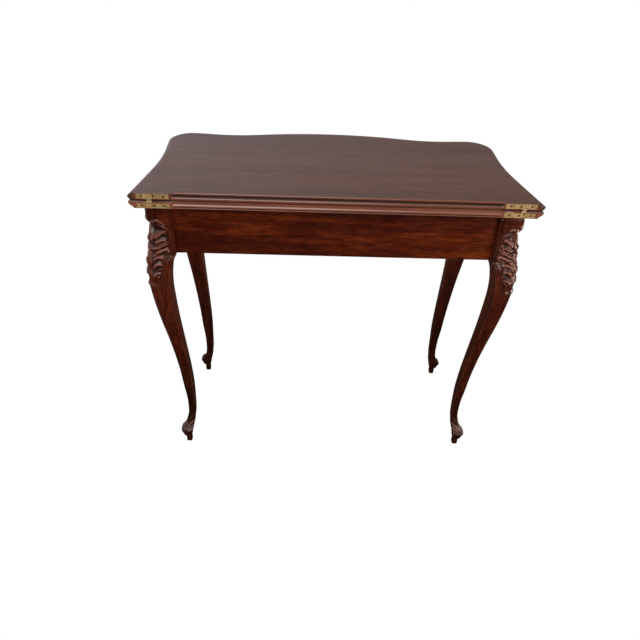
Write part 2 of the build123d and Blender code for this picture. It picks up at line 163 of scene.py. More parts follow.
# Carved ridges of half a knee: places as (distance round from the corner, height), then half
# the ridge's width and its rise
KNEE_RIDGES = (
    (((0, 668.5), (8, 672), (15, 676), (21, 677), (25, 675), (28.5, 671.5), (32.5, 667.5),
      (35.5, 664)), 3, 3.2),
    (((21, 668), (25, 665), (29, 662.5), (33, 660.5), (36.5, 658), (38, 654.5)), 2.4, 2.6),
    (((0, 637), (0, 632), (0, 625)), 5.6, 3.6),
    (((13.5, 648), (11.5, 645), (8, 640), (4.5, 636)), 3.2, 3.2),
    (((31, 650), (26, 649), (21, 646.5), (15.5, 640.5), (8.5, 633.5)), 4.2, 4.4),
    (((12, 623.5), (18, 628.2), (25, 631.2), (32, 632)), 3.4, 4.6),
    (((33, 629), (28, 624.6), (22, 621.4), (16, 619.5)), 2.6, 3.4),
    (((0, 607), (5, 608.5), (11, 611.5), (17, 613), (22.5, 617), (29, 619.5), (35, 623),
      (39, 628)), 3, 3.6),
    (((8, 593.5), (13, 599.5), (21, 605.5), (28, 609), (33, 610.6), (37, 609.3), (39, 606.5),
      (37.8, 603)), 4.6, 5),
    (((0, 603), (2.5, 598), (6, 592)), 3, 1.8),
    (((10, 584), (14.5, 589.5), (20, 592.6), (26, 593), (32, 589.5)), 3.4, 4.2),
    (((0, 585), (3, 579), (8, 571)), 3.4, 2),
    (((10, 565), (14.5, 572), (20, 576.4), (26, 577.4), (32, 574.5)), 3.8, 4.6),
    (((0, 554), (4, 548), (8, 543)), 3.2, 1.8),
    (((11, 545), (16, 551.5), (22, 555.6), (29, 555.2)), 3.2, 3.8),
    (((18, 544), (22, 547), (26, 546.4)), 2, 2),
    (((2, 531), (6, 537), (10, 539.5)), 2, 1.2),
    (((44.6, 595.5), (45, 591), (43.2, 586), (40.5, 581)), 1.9, 2),
    (((49.5, 594), (49, 589), (46.5, 584)), 1.7, 1.6),
)
# Sunk lines of half a knee
KNEE_GROOVES = (
    (((0, 602.8), (8, 604.2), (15, 607), (22.5, 611), (29, 615), (35, 620.5)), 2.4, 2.6),
    (((33.5, 631.5), (29.5, 626.5), (25, 621.5)), 1.9, 2.4),
    (((13.5, 593.8), (18, 598.5), (24, 602.3), (30, 604.6), (35.5, 604)), 2.5, 2.4),
    (((15.5, 582), (21, 585.4), (28, 584.2)), 3.4, 2.6),
    (((16, 563), (20, 567.6), (25, 569.4), (31, 567.4)), 3.4, 2.8),
    (((17, 547), (21, 550), (26, 550.6)), 1.8, 1.6),
    (((23.5, 671.5), (27.5, 667.2), (32.5, 663.8)), 1.7, 1.8),
)
# Hollows: place, half sizes and depth
KNEE_HOLLOWS = (
    (3.5, 629, 7.5, 4.4, 4), (6, 616.5, 5, 3.8, 3), (23, 626.3, 5.5, 1.9, 2.8),
    (28, 639, 9, 4.5, 2.4), (10, 585, 5, 5, 1.6), (9, 558, 4.5, 5, 1.4), (33, 615, 4, 3, 1),
)
# The plain hollow at the top of a knee: place, half sizes and depth
CARTOUCHE = ((0, 653, 31, 16, 5.8),)
# Lobes down the corner of a knee: heights, and how far they stand out
KNEE_LOBES = (
    (500, 0), (512, 1), (521, 4.2), (528, 0.8), (536, 0.6), (548, 1.8), (556, -0.4),
    (561, -1.6), (568, -0.4), (579, 0.8), (588, 0.4), (595, -0.6), (602, 3), (609, 5.2),
    (618, 3.2), (627, 4.4), (636, 1.6), (645, 0),
)
LOBE_FLAT, LOBE_HALF = 12, 27
THROAT_Z, THROAT_DEEP, THROAT_HALF = 649, 2.6, 8
THROAT_SIDE = (24, 38)
# The sunk panel of a knee: heights where it starts and ends, its fading sides and its depth
PANEL_FOOT, PANEL_HEAD, PANEL_WIDENS = (496, 530), (668, 674), (560, 600)
PANEL_SIDE, PANEL_EDGE, PANEL_DEEP = (33, 41), (38, 44), 1.6
# A ridge is thinner at its ends, and fills the hollow under it from this rise on
RIDGE_POINTS, RIDGE_THIN, RIDGE_SWELL = 25, 0.45, 0.55
RIDGE_START, RIDGE_RUN = 0.15, 0.8
RIDGE_ROUND, HOLLOW_ROUND = 0.8, 0.9
RIDGE_COVERS = 1.5
# Ridges of half a foot
FOOT_RIDGES = (
    (((4, 75), (7, 81), (12, 90)), 2.6, 1.2),
    (((6, 55), (8.5, 62.5), (13, 69), (19, 79)), 3.4, 2),
    (((8, 49), (13, 54), (18, 59), (22.5, 66)), 2.8, 1.7),
    (((9, 41), (17, 46), (25, 53), (28.5, 61), (26.5, 74), (22, 88)), 2.2, 1.5),
    (((0, 50), (0, 60), (0, 72)), 2.6, 1),
)
# The sunk ground between the toes' ridges
FOOT_LOW, FOOT_HIGH, FOOT_SIDE, FOOT_DEEP = (36, 44), (88, 98), (27, 32), 0.8
# The fillet under a tablet, and the sunk line along a leg's sides
FILLET_Z, FILLET_HALF, FILLET_RISE = 684.5, 1.1, 0.9
LINE_IN, LINE_HALF, LINE_DEEP, LINE_FOOT = 5, 0.9, 0.7, (90, 140)
# Ridges are rubbed bare, with a painted highlight, above these rises
RUB_AND_LIGHT_KNEE, RUB_AND_LIGHT_SPAN, RUB_AND_LIGHT_FOOT = 1, 2.4, 0.6

# Aprons: how far in from the hinged edge, the outline and the posts, and the sides' bow
BACK_RAIL_IN, FRONT_RAIL_IN, SIDE_RAIL_IN, SIDE_RAIL_BOW = 26.5, 15, 8, 14
FRONT_RAIL_LAP, RAIL_POINTS = 2, 40
RAIL_THICK, RAIL_SOFT = 20, 0.6
# Section of an apron: depths behind its face, and heights
RAIL_SECTION = (
    (RAIL_THICK - RAIL_SOFT, APRON_BASE), (1.4, APRON_BASE), (0.5, APRON_BASE + 0.3),
    (0.1, APRON_BASE + 0.9), (0, APRON_BASE + 1.8), (0, LEDGE_Z - 0.5), (0.15, LEDGE_Z - 0.1),
    (LEDGE_RISE, LEDGE_Z + 0.2), (LEDGE_RISE, FRAME_TOP), (RAIL_THICK, FRAME_TOP),
    (RAIL_THICK, APRON_BASE + RAIL_SOFT),
)

# Colours of the woods: dark, middle and light
TOP_TONES = ((0.039, 0.0097, 0.005), (0.065, 0.0185, 0.0096), (0.104, 0.035, 0.0184))
RAIL_TONES = ((0.025, 0.003, 0.0008), (0.055, 0.0067, 0.0014), (0.118, 0.02, 0.0026))
LEG_TONES = ((0.028, 0.0038, 0.0012), (0.068, 0.0092, 0.0024), (0.125, 0.024, 0.006))
BOARD_TONES = ((0.13, 0.07, 0.035), (0.22, 0.13, 0.07), (0.33, 0.21, 0.12))
# Upright faces of the leaves: a darker tone on the upper leaf's, painted shade, and a lighter one on the
# lower leaf's, painted light
UPPER_EDGE_SHADED_TONE, LOWER_EDGE_LIT_TONE = (0.135, 0.038, 0.016), (0.205, 0.07, 0.04)
# Tones of rubbed wood: wear, and on the legs' ridge crests and flutes also a painted highlight
WORN_TOP, WORN_AND_LIT_LEG = (0.19, 0.085, 0.062), (0.2, 0.088, 0.066)
# Legs are darker low down: heights in metres, and the share of the colour that stays
LOW_SHADES = ((0.06, 0.42), (0.11, 0.28), (0.15, 0.28), (0.24, 0.44), (0.36, 0.68), (0.52, 1))
# Colours of the metals and of the cloth
BRASS_TONES = ((0.2, 0.12, 0.05), (0.46, 0.32, 0.14), (0.74, 0.55, 0.27))
LINK_TONES = ((0.22, 0.17, 0.11), (0.42, 0.35, 0.23), (0.62, 0.55, 0.4))
SCREW_TONES = ((0.02, 0.013, 0.008), (0.06, 0.04, 0.02), (0.14, 0.09, 0.045))
IRON_TONES = ((0.03, 0.026, 0.024), (0.085, 0.07, 0.06), (0.13, 0.065, 0.035))
BAIZE_TONES = ((0.018, 0.095, 0.045), (0.035, 0.15, 0.075))

# The floor: half its side, its colour, and its colour in reflections by distance
FLOOR_HALF = 40000
FLOOR_TONE = (0.7, 0.57, 0.48)
FLOOR_DIM = ((0.4, (0.018, 0.012, 0.009)), (0.75, (0.1, 0.058, 0.04)))
# The sky by height, from left to right, from front to back, and left to right overhead
SKY_RISE = (
    (0, (1.5, 1.5, 1.5)), (0.1, (1.25, 1.25, 1.25)), (0.2, (0.96, 0.96, 0.96)),
    (0.29, (0.84, 0.84, 0.84)), (0.34, (0.97, 0.95, 0.93)), (0.4, (1.38, 1.16, 1.04)),
)
SKY_ACROSS = (
    (0.02, (4.2, 4.4, 4.7)), (0.3, (1.3, 1.35, 1.4)), (0.42, (1.08, 1.08, 1.08)),
    (0.52, (0.86, 0.83, 0.81)), (0.65, (0.72, 0.64, 0.6)),
)
SKY_BEHIND = ((0.45, (0.12, 0.12, 0.12)), (0.95, (0.328, 0.362, 0.388)))
SKY_OVERHEAD = ((0.35, (1.08, 1, 0.98)), (0.65, (0.9, 0.8, 0.76)))
# Lamps: place, aim, size, power and colour
LAMPS = (
    ("key", (-0.8, -1.7, 3.1), (0, 0, 0.5), (2.6, 2), 72, (1, 0.97, 0.93)),
    ("fill", (2, -1.8, 1.2), (0.1, 0, 0.4), (1.4, 1.4), 40, (1, 0.9, 0.8)),
    ("side", (2.3, 0.5, 0.45), (0, 0, 0.4), (0.8, 0.5), 14, (1, 0.8, 0.68)),
)
# The camera: its place in metres, its turns in radians, and its lens
CAMERA_PLACE = (-0.0835, -1.3354, 1.2235)
CAMERA_TURN = (0.0497, 0.6047, 0.0482)
FOCAL_PX, FRAME_PX, SENSOR = 593.34, 640, 36


def between(value, low, high):
    """A smooth step from 0 to 1."""
    t = np.clip((value - low) / (high - low), 0, 1)
    return t * t * (3 - 2 * t)


def smooth_values(knots, values, places):
    """A smooth line through given values."""
    slopes = np.gradient(values, knots)
    index = np.clip(np.searchsorted(knots, places, side="right") - 1, 0, len(knots) - 2)
    span = knots[index + 1] - knots[index]
    t = np.clip((places - knots[index]) / span, 0, 1)
    rise = (2 * t ** 3 - 3 * t ** 2 + 1) * values[index] + (3 * t ** 2 - 2 * t ** 3) * values[index + 1]
    turn = (t ** 3 - 2 * t ** 2 + t) * slopes[index] + (t ** 3 - t ** 2) * slopes[index + 1]
    return rise + turn * span


def smooth_path(places, count):
    """Points evenly along a smooth line through a few places."""
    places = np.array(places, float)
    steps = np.linalg.norm(np.diff(places, axis=0), axis=1)
    knots = np.concatenate(([0.0], np.cumsum(steps)))
    along = np.linspace(0, knots[-1], count)
    return np.stack([smooth_values(knots, column, along) for column in places.T], axis=1)


def add_object(name, data):
    """An object in the scene that holds the data."""
    made = bpy.data.objects.new(name, data)
    bpy.context.scene.collection.objects.link(made)
    return made


def add_mesh(name, points, faces):
    """A smooth mesh object from points in millimetres."""
    mesh = bpy.data.meshes.new(name)
    mesh.from_pydata([tuple(p) for p in np.asarray(points, float) * MM], [], faces)
    mesh.polygons.foreach_set("use_smooth", [True] * len(mesh.polygons))
    mesh.update()
    return add_object(name, mesh)


def paint(piece, material):
    """Give a piece its finish."""
    piece.data.materials.clear()
    piece.data.materials.append(material)


def set_shelter(mesh, values):
    """Give a mesh its shelter at each point: how much painted shade lies there, or below zero how much wear
    with a painted highlight.
    """
    mesh.attributes.new("shelter", "FLOAT", "POINT").data.foreach_set("value", values)


def settle(piece, body, material, slot, *stands_for):
    """Give a piece its body, its finish and the CAD nodes that it stands for."""
    paint(piece, material)
    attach(piece, body)
    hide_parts(*stands_for)


def grid_faces(rows, columns, closed=False):
    """Four-sided faces over a grid of points, whose rows may close on themselves."""
    faces = []
    for i in range(rows - 1):
        for j in range(columns if closed else columns - 1):
            k = (j + 1) % columns
            faces.append((i * columns + j, i * columns + k, (i + 1) * columns + k, (i + 1) * columns + j))
    return faces


def at_height(line, z):
    """A line in plan as points at one height."""
    return np.column_stack((line, np.full(len(line), z)))


class Shape:
    """Points and faces gathered from several patches."""

    def __init__(self):
        self.points, self.faces, self.flat, self.shade = [], [], [], []

    def add(self, points, faces, flat=False, shade=None):
        """A patch, flat or smooth, with a shade at each point."""
        start = len(self.points)
        self.points += [tuple(p) for p in points]
        self.shade += [0.0] * len(points) if shade is None else list(shade)
        self.faces += [tuple(start + i for i in face) for face in faces]
        self.flat += [flat] * len(faces)

    def grid(self, rows, closed=False, shade=None):
        """A smooth patch over rows of points."""
        rows = np.asarray(rows, float)
        shade = None if shade is None else np.asarray(shade, float).ravel()
        self.add(rows.reshape(-1, 3), grid_faces(*rows.shape[:2], closed), False, shade)

    def fill(self, loops, height):
        """A level face inside a first loop and outside any others."""
        points = [(x, y, height) for loop in loops for x, y in loop]
        lines = [[(x, y, 0.0) for x, y in loop] for loop in loops]
        self.add(points, tessellate_polygon(lines), flat=True)

    def wall(self, loop, low, high):
        """An upright band round a closed loop."""
        points = np.concatenate((at_height(loop, low), at_height(loop, high)))
        self.add(points, grid_faces(2, len(loop), True), flat=True)

    def build(self, name):
        """The mesh object, joined at shared points, with its shades as its shelter."""
        piece = add_mesh(name, self.points, self.faces)
        mesh = piece.data
        mesh.polygons.foreach_set("use_smooth", [not flat for flat in self.flat])
        set_shelter(mesh, self.shade)
        work = bmesh.new()
        work.from_mesh(mesh)
        bmesh.ops.remove_doubles(work, verts=work.verts, dist=JOIN)
        bmesh.ops.recalc_face_normals(work, faces=work.faces)
        work.to_mesh(mesh)
        work.free()
        mesh.update()
        return piece


def outline_path(per_arc):
    """The top's outline from the left hinged corner round the front to the right one, and the
    directions inwards."""
    places = [np.array((x * WIDTH / 2, y * DEPTH)) for x, y in OUTLINE]
    heading = np.array((1.0, 0.0))
    points, headings = [], []
    for start, end in zip(places, places[1:]):
        chord = end - start
        turn = math.atan2(heading[0] * chord[1] - heading[1] * chord[0], heading @ chord)
        radius = np.linalg.norm(chord) / (2 * math.sin(turn))
        side = np.array((-heading[1], heading[0]))
        for phi in np.linspace(0, 2 * turn, per_arc, endpoint=False):
            points.append(start + radius * (math.sin(phi) * heading + (1 - math.cos(phi)) * side))
            headings.append(math.cos(phi) * heading + math.sin(phi) * side)
        heading = math.cos(2 * turn) * heading + math.sin(2 * turn) * side
    points.append(places[-1])
    headings.append(heading)
    right, along = np.array(points), np.array(headings)
    inward = np.column_stack((along[:, 1], -along[:, 0]))
    path = np.concatenate((right[:0:-1] * MIRROR, right))
    return path, np.concatenate((inward[:0:-1] * MIRROR, inward))


PATH, INWARD = outline_path(70)


def ring(inset, low_y=EDGE_Y, count=601):
    """The outline drawn in by an inset, and cut off behind a line across the table."""
    points = PATH + inset * INWARD
    inside = np.nonzero(points[:, 1] > low_y)[0]
    first, last = inside[0], inside[-1]
    start, end = float(first), float(last)
    if first > 0:
        start -= (points[first, 1] - low_y) / (points[first, 1] - points[first - 1, 1])
    if last < len(points) - 1:
        end += (points[last, 1] - low_y) / (points[last, 1] - points[last + 1, 1])
    spots = np.linspace(start, end, count)
    index = np.arange(len(points))
    return np.column_stack([np.interp(spots, index, column) for column in points.T])


def arris_depth(h):
    """How far the rounded inner arris of the hinged edge lies behind its face."""
    h = np.clip(h, 0, ARRIS)
    return ARRIS - np.sqrt(ARRIS ** 2 - (ARRIS - h) ** 2)


def edge_rows(h, x, moulding):
    """Depth of the hinged edge behind its face: moulding, plate rooms and knuckle rooms."""
    far = np.abs(x)
    depth = arris_depth(h)
    cut = between(far, STOP_X + RUN_OUT, STOP_X) * np.interp(h, *np.array(moulding).T)
    depth = np.maximum(depth, cut)
    plate = (far > PLATE_IN) & (far < PLATE_OUT) & (h > PLATE_NEAR) & (h < PLATE_FAR)
    depth = np.where(plate, np.maximum(depth, PLATE_DEEP), depth)
    knuckle = (np.abs(far - LINK_X) < KNUCKLE_HALF) & (h < KNUCKLE_NEAR)
    return np.where(knuckle, KNUCKLE_DEEP, depth)


def edge_painted_shade(h, x, table):
    """How dark the painted shade lies at a height of the hinged edge: in the moulding's sunk lines, and in
    the seam beside the hinges.
    """
    moulded = between(np.abs(x), STOP_X + RUN_OUT, STOP_X)
    sunk, seam = (np.interp(h, *np.array(rows).T) for rows in (table, SEAM_PAINTED_SHADE))
    return moulded * sunk + (1 - moulded) * seam


def side_rings(profile):
    """The outline at each height of a leaf's moulding, cut off behind its hinged edge."""
    inset, height = np.array(profile).T
    cuts = EDGE_Y + arris_depth(height)
    cuts[0] = EDGE_Y + INNER_BACK
    cuts[-1] = EDGE_Y + OUTER_BACK
    return [ring(d, y) for d, y in zip(inset, cuts)], height


def strip_heights(moulding):
    """Heights at which the hinged edge is drawn."""
    arc = ARRIS * (1 - np.cos(np.linspace(0, math.pi / 2, 9)))
    rooms = [edge + side * CUT_STEP for edge in (PLATE_NEAR, KNUCKLE_NEAR, PLATE_FAR) for side in (-1, 1)]
    moulded = np.array([h for h, _ in moulding[1:-1]])
    return np.unique(np.concatenate((arc, rooms, moulded, (LEAF - 0.1,))).round(3))


def strip_places():
    """Places along the hinged edge at which it is drawn."""
    marks = (PLATE_OUT, LINK_X + KNUCKLE_HALF, LINK_X - KNUCKLE_HALF, PLATE_IN)
    across = [mark + side * CUT_STEP for mark in marks for side in (1, -1)] + list(PLAIN_PLACES)
    across = np.sort(across + list(STOP_X + RUN_OUT * np.linspace(0, 1, 7)))
    return np.concatenate((-across[::-1], [0.0], across))


def hinged_strip(shape, inner_z, up, ends, height, moulding, painted_shade_table, tip_darkening):
    """The hinged edge of a leaf; returns the line where it meets the outer face."""
    strip, shades = [], []
    across = strip_places()
    for h in strip_heights(moulding):
        tip = np.interp(h, height, ends)
        x = np.concatenate(([-tip], across, [tip]))
        plan = np.column_stack((x, EDGE_Y + edge_rows(h, x, moulding)))
        strip.append(at_height(plan, inner_z + up * h))
        # Painted shade along the edge, with the upper leaf's tips darkened
        tip_shade = tip_darkening * between(np.abs(x), *TIP_SPAN)
        shades.append(np.maximum(tip_shade, edge_painted_shade(h, x, painted_shade_table)))
    first, last = strip[0].copy(), strip[-1].copy()
    first[:, 1] = EDGE_Y + INNER_BACK
    first[:, 2] = inner_z
    first[[0, -1], 0] = (-ends[0], ends[0])
    last[:, 1] = EDGE_Y + np.maximum(OUTER_BACK, edge_rows(LEAF, last[:, 0], moulding))
    last[:, 2] = inner_z + up * LEAF
    last[[0, -1], 0] = (-ends[-1], ends[-1])
    shape.grid([first] + strip + [last], shade=[shades[0]] + shades + [shades[-1]])
    return last


def close_leaf(shape, inner_z, up, inner_loop, outer_loop, pocket):
    """The flat faces of a leaf: the inner one round its recess, the outer one round any pocket."""
    recess_loop = lining_loop()
    recess_z = inner_z + up * RECESS
    shape.fill([inner_loop, recess_loop], inner_z)
    shape.wall(recess_loop, inner_z, recess_z)
    shape.fill([recess_loop], recess_z)
    outer_z = inner_z + up * LEAF
    if pocket is None:
        shape.fill([outer_loop], outer_z)
        return
    loop, deep = pocket
    shape.fill([outer_loop, loop], outer_z)
    shape.wall(loop, outer_z, outer_z - up * deep)
    shape.fill([loop], outer_z - up * deep)


def leaf_shape(inner_z, up, profile, moulding, painted_shade_table, tip_darkening=0.0, pocket=None):
    """A leaf: moulded round three sides, with the hinged edge along the fourth, its lining's
    recess inside, and a pocket outside if it has one."""
    shape = Shape()
    rings, height = side_rings(profile)
    rows = [at_height(r, inner_z + up * h) for r, h in zip(rings, height)]
    # The upper leaf's tips darkened
    shade = [tip_darkening * (1 - between(r[:, 1], EDGE_Y + TIP_NEAR, EDGE_Y + TIP_FAR)) for r in rings]
    shape.grid(rows, shade=shade)
    ends = np.array([r[-1, 0] for r in rings])
    last = hinged_strip(shape, inner_z, up, ends, height, moulding, painted_shade_table, tip_darkening)
    outer_loop = np.concatenate((rings[-1], last[-2:0:-1, :2]))
    close_leaf(shape, inner_z, up, rings[0], outer_loop, pocket)
    return shape


def lining_loop(gap=0.0):
    """The plan of a lining, its straight hinge side moved nearer to the hinges."""
    drawn = ring(LINING_INSET + gap, EDGE_Y + LINING_INSET, 301)
    side = drawn[-1, 0]
    hinge_side = EDGE_Y + LINING_HINGE_INSET + gap
    return np.concatenate((drawn, [(side, hinge_side), (-side, hinge_side)]))


def lining(name, face_z, up):
    """A sheet of baize let into a leaf, its face to one side and its edge rounded."""
    rows = [at_height(lining_loop(gap), face_z + up * deep) for gap, deep in LINING_SECTION]
    shape = Shape()
    shape.fill([rows[0][:, :2]], rows[0][0, 2])
    shape.grid(rows, closed=True)
    shape.fill([rows[-1][:, :2]], rows[-1][0, 2])
    return shape.build(name)


def carving(s, z, ridges):
    """Height of carved ridges over a leg's outer faces."""
    raised = np.zeros_like(s)
    for places, half, rise in ridges:
        line = smooth_path(places, RIDGE_POINTS)
        low, high = line.min(0) - half, line.max(0) + half
        near = np.nonzero((s > low[0]) & (s < high[0]) & (z > low[1]) & (z < high[1]))
        spots = np.stack((s[near], z[near]), axis=1)
        gap = np.linalg.norm(spots[:, None, :] - line[None, :, :], axis=2)
        t = gap.argmin(1) / (len(line) - 1)
        swell = np.sin(math.pi * np.clip(RIDGE_START + RIDGE_RUN * t, 0, 1))
        taper = RIDGE_THIN + RIDGE_SWELL * swell
        bump = np.clip(1 - (gap.min(1) / (half * taper)) ** 2, 0, 1) ** RIDGE_ROUND
        raised[near] = np.maximum(raised[near], rise * taper * bump)
    return raised


def hollows(s, z, table):
    """Depth of the hollows of a knee."""
    depth = np.zeros_like(s)
    for place_s, place_z, half_s, half_z, deep in table:
        for side in (1, -1) if place_s else (1,):
            r = ((s - side * place_s) / half_s) ** 2 + ((z - place_z) / half_z) ** 2
            depth = np.maximum(depth, deep * np.clip(1 - r, 0, 1) ** HOLLOW_ROUND)
    return depth


def knee_ground(away, z):
    """The sunk and lobed ground of a knee's carving, and how much of it is panel."""
    panel = between(z, *PANEL_FOOT) * (1 - between(z, *PANEL_HEAD))
    panel = panel * (1 - between(away, *PANEL_SIDE) * (1 - between(z, *PANEL_WIDENS)))
    ground = -PANEL_DEEP * panel * (1 - between(away, *PANEL_EDGE))
    lobes = np.interp(z, *np.array(KNEE_LOBES).T) * (1 - between(away, LOBE_FLAT, LOBE_HALF))
    throat = THROAT_DEEP * np.exp(-((z - THROAT_Z) / THROAT_HALF) ** 2)
    return ground + lobes - throat * (1 - between(away, *THROAT_SIDE)), panel


def leg_trim(away, half, z):
    """The ledge of the tablet, the fillet under it and the sunk line along the sides."""
    tablet = -LEDGE_RISE * between(z, LEDGE_Z - 0.4, LEDGE_Z + 0.1)
    fillet = FILLET_RISE * np.exp(-((z - FILLET_Z) / FILLET_HALF) ** 2)
    fillet = fillet * (1 - between(away, half - 6, half - 4))
    line = -LINE_DEEP * np.exp(-((away - half + LINE_IN) / LINE_HALF) ** 2) * between(z, *LINE_FOOT)
    return tablet + fillet + line


def leg_relief(s, half, z):
    """How far the carved leg stands from its plain form, and its shelter: painted shade in the hollows, and
    below zero where the wood is rubbed and given a painted highlight."""
    away = np.abs(s)
    ground, panel = knee_ground(away, z)
    ridges = carving(away, z, KNEE_RIDGES)
    sunk = np.maximum(hollows(s, z, KNEE_HOLLOWS), carving(away, z, KNEE_GROOVES))
    hollow = sunk + hollows(s, z, CARTOUCHE)
    flutes = carving(away, z, FOOT_RIDGES)
    foot = between(z, *FOOT_LOW) * (1 - between(z, *FOOT_HIGH)) * (1 - between(away, *FOOT_SIDE))
    relief = ground - hollow * (1 - np.clip(ridges / RIDGE_COVERS, 0, 1)) + ridges
    relief += flutes - FOOT_DEEP * foot
    relief += leg_trim(away, half, z)
    # Crests of ridges and flutes: wear, with a painted highlight
    rubbed_and_lit = np.maximum(ridges - RUB_AND_LIGHT_KNEE, 0) / RUB_AND_LIGHT_SPAN + np.maximum(flutes - RUB_AND_LIGHT_FOOT, 0)
    # Painted shade in the hollows, the sunk panel and the foot's sunk ground, less on ridges and flutes
    shelter = (sunk + panel - ridges) / 3 + 0.5 * foot - 0.3 * flutes
    return relief, np.where(rubbed_and_lit > 0, -np.clip(rubbed_and_lit, 0, 1), np.clip(shelter, 0, 1))


def leg_sizes(z):
    """Inner face, outer face and rounding of the outer corner at each height."""
    shares = np.array(LEG_SHARES)
    knots = np.concatenate((shares[:, 0] * APRON_BASE, (APRON_BASE,)))
    knee = (-POST_INSET, POST_OUTSET + KNEE_SWELL, POST_ROUND)
    sizes = []
    for k in range(3):
        values = np.concatenate((shares[:, k + 1] * POST, (knee[k],)))
        sizes.append(smooth_values(knots, values, z))
    inner, outer, rounding = sizes
    in_post = z > APRON_BASE
    shrunk = KNEE_SWELL * np.clip((z - APRON_BASE) / KNEE_HEIGHT, 0, 1)
    outer = np.where(in_post, POST_OUTSET + KNEE_SWELL - shrunk, outer)
    squarer = NECK_SHARE * between(z, NECK_Z - 14, NECK_Z + 10)
    squarer = squarer + TABLET_SHARE * between(z, TABLET_BASE - 1.5, TABLET_BASE + 1)
    rounding = np.where(in_post, POST_ROUND + squarer * (TABLET_ROUND - POST_ROUND), rounding)
    stub = z < LEG_SHARES[0][0] * APRON_BASE - 0.2
    stub_half = STUB_HALF - STUB_TAPER * (1 - between(z, 0, 2))
    inner = np.where(stub, -stub_half, inner)
    outer = np.where(stub, stub_half, outer)
    return inner, outer, np.where(stub, STUB_ROUND, rounding)


def leg_rings(z):
    """Rings of points round a leg, the ways that they face, and their distance from the corner."""
    inner, outer, rounding = (a[:, None] for a in leg_sizes(z))
    soft = np.full_like(inner, LEG_SOFT)
    soft[z < STUB_TOP] = STUB_SOFT
    quarter = rounding * math.pi / 4
    half = outer - inner - rounding - soft + quarter
    s = np.linspace(-1, 1, LEG_POINTS)[None, :] * half
    over = np.clip(np.abs(s) - quarter, 0, None)
    theta = math.pi / 4 + np.clip(s, -quarter, quarter) / rounding
    centre = outer - rounding
    x = centre + rounding * np.cos(theta) - np.where(s > 0, over, 0)
    y = centre + rounding * np.sin(theta) - np.where(s < 0, over, 0)
    columns = [(x, y, np.cos(theta), np.sin(theta))]

    def add(px, py, facing):
        columns.append((px, py, *(np.full_like(px, share) for share in facing)))

    def corner(cx, cy, first):
        for angle in np.radians(np.linspace(first, first + 90, 6)[1:-1]):
            facing = (math.cos(angle), math.sin(angle))
            add(cx + soft * facing[0], cy + soft * facing[1], facing)

    def face(x0, y0, x1, y1, facing):
        for k in np.linspace(0, 1, 7):
            add(x0 + k * (x1 - x0), y0 + k * (y1 - y0), facing)

    corner(inner + soft, outer - soft, 90)
    face(inner, outer - soft, inner, inner + soft, (-1, 0))
    corner(inner + soft, inner + soft, 180)
    face(inner + soft, inner, outer - soft, inner, (0, -1))
    corner(outer - soft, inner + soft, 270)
    return (*(np.concatenate(a, axis=1) for a in zip(*columns)), s, half)


def within_outline(x, y, margin):
    """Points moved in, where need be, to lie a margin inside the top's outline."""
    spots = np.column_stack((x.ravel(), y.ravel()))
    margin = margin.ravel()
    line, inwards = PATH[::3], INWARD[::3]
    for start in range(0, len(spots), BATCH):
        part = spots[start:start + BATCH]
        gap = part[:, None, :] - line[None, :, :]
        nearest = np.linalg.norm(gap, axis=2).argmin(1)
        inward = inwards[nearest]
        inside = np.einsum("ij,ij->i", part - line[nearest], inward)
        short = np.clip(margin[start:start + BATCH] - inside, 0, None)
        spots[start:start + BATCH] = part + short[:, None] * inward
    return [spots[:, k].reshape(x.shape) for k in (0, 1)]


def leg_cover(shelter, columns, z, y_sign):
    """The shelter round a leg: its carved faces, and its rubbed inner corners."""
    outer = shelter.shape[1]
    cover = np.zeros((len(z), columns), np.float32)
    cover[:, :outer] = shelter
    bare = between(z, *BARE_FOOT) * (1 - between(z, APRON_BASE - BARE_HEAD, APRON_BASE))
    for k in SIDE_CORNERS:
        cover[:, outer + k] = -0.25 * bare
    for k in INNER_CORNER:
        cover[:, outer + k] = -0.9 * bare * (y_sign < 0)
    return cover


def leg_points(z, foot, x_sign, y_sign):
    """A carved leg's rings of points at its corner of the table, and their shelter."""
    x, y, nx, ny, s, half = leg_rings(z)
    outer = s.shape[1]
    relief, shelter = leg_relief(s, half, np.broadcast_to(z[:, None], s.shape))
    x[:, :outer] += nx[:, :outer] * relief
    y[:, :outer] += ny[:, :outer] * relief
    level = np.broadcast_to(z[:, None], x.shape)
    x = x_sign * (x + foot[0])
    y = y_sign * y + foot[1]
    if y_sign > 0:
        knee = between(level, APRON_BASE - KNEE_FADE, APRON_BASE)
        x, y = within_outline(x, y, POST_MARGIN - (POST_MARGIN - LEG_MARGIN) * (1 - knee))
    return np.stack((x, y, level), axis=2), shelter


def leg(name, foot, x_sign, y_sign, material):
    """A carved cabriole leg with its foot at the given place."""
    points, shelter = leg_points(LEG_LEVELS, foot, x_sign, y_sign)
    rows, columns = points.shape[:2]
    faces = grid_faces(rows, columns, True)
    faces += [range(columns), range((rows - 1) * columns, rows * columns)]
    piece = add_mesh(name, points.reshape(-1, 3), faces)
    mesh = piece.data
    set_shelter(mesh, leg_cover(shelter, columns, LEG_LEVELS, y_sign).ravel())
    if x_sign * y_sign < 0:
        mesh.flip_normals()
    for polygon in mesh.polygons[-2:]:
        polygon.use_smooth = False
    mesh.update()
    settle(piece, "frame", material, "mahogany_frame", name)


def rail(name, path, inwards, material):
    """An apron along a path, with soft arrises and a fine ledge near its top."""
    section = RAIL_SECTION + RAIL_SECTION[:1]
    shape = Shape()
    shape.grid([at_height(path + depth * inwards, z) for depth, z in section])
    settle(shape.build(name), "frame", material, "mahogany_frame", name)


